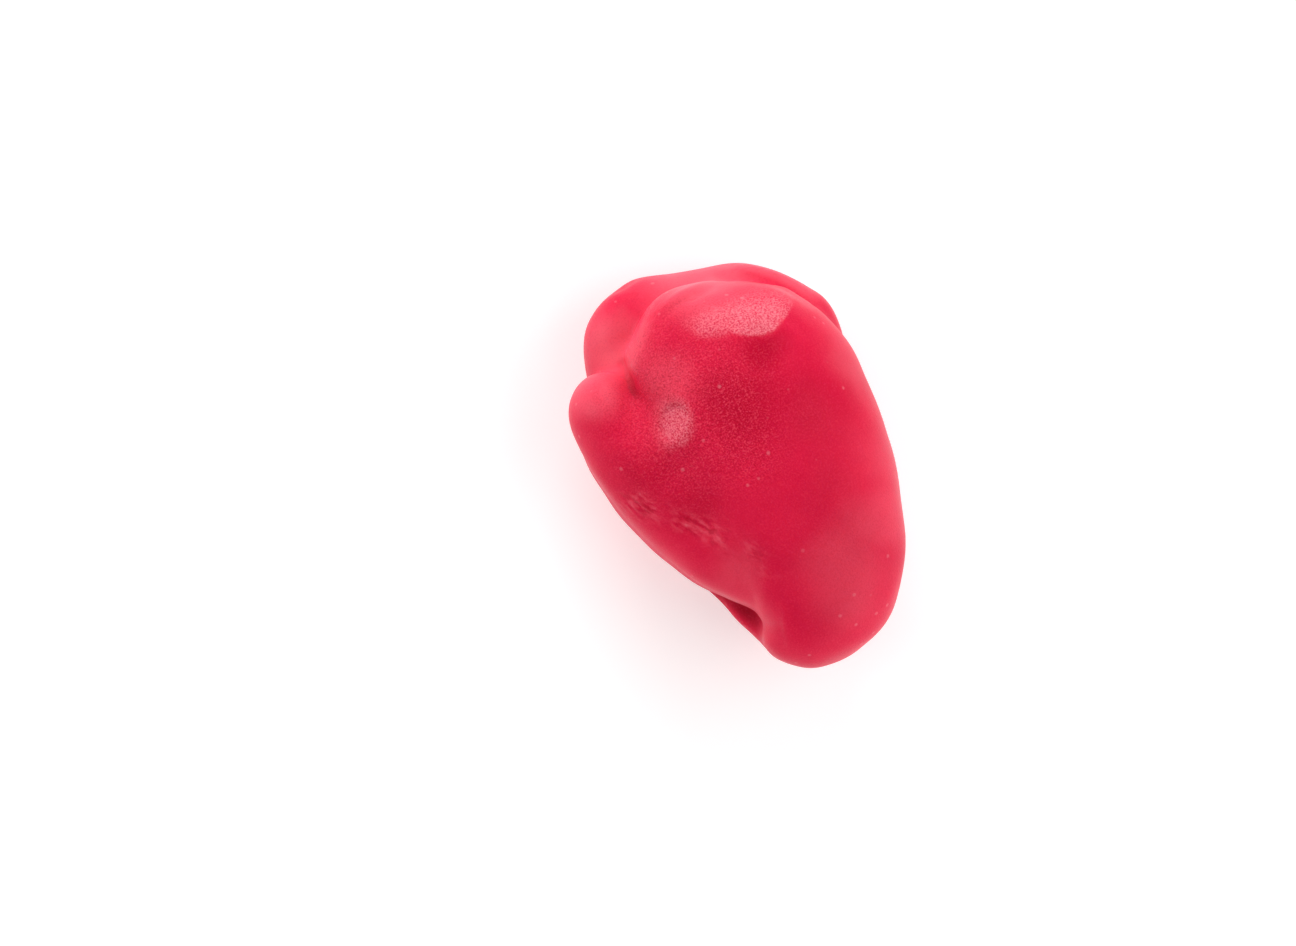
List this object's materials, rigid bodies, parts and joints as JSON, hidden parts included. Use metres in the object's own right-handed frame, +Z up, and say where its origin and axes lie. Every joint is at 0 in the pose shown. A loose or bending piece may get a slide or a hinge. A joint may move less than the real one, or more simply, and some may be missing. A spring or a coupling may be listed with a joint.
{
  "type": "candied almond",
  "caption": "Soft crimson sugar-coated almond sweet, a plump folded lump with a rolled lip and an open crease at one end.",
  "frame": {"origin": "centre of the footprint's bounding box, on the surface it rests on", "axes": "+Z up through the folded side, +Y along the length towards the open end of the fold, +X to the right of the rolled lip"},
  "size_m": [0.0202, 0.03, 0.0156],
  "materials": {
    "sugar_coat": "matt, slightly waxy crimson sugar paste with paler pressed patches"
  },
  "bodies": {
    "root": {"candied_almond": "sugar_coat"}
  },
  "joints": []
}
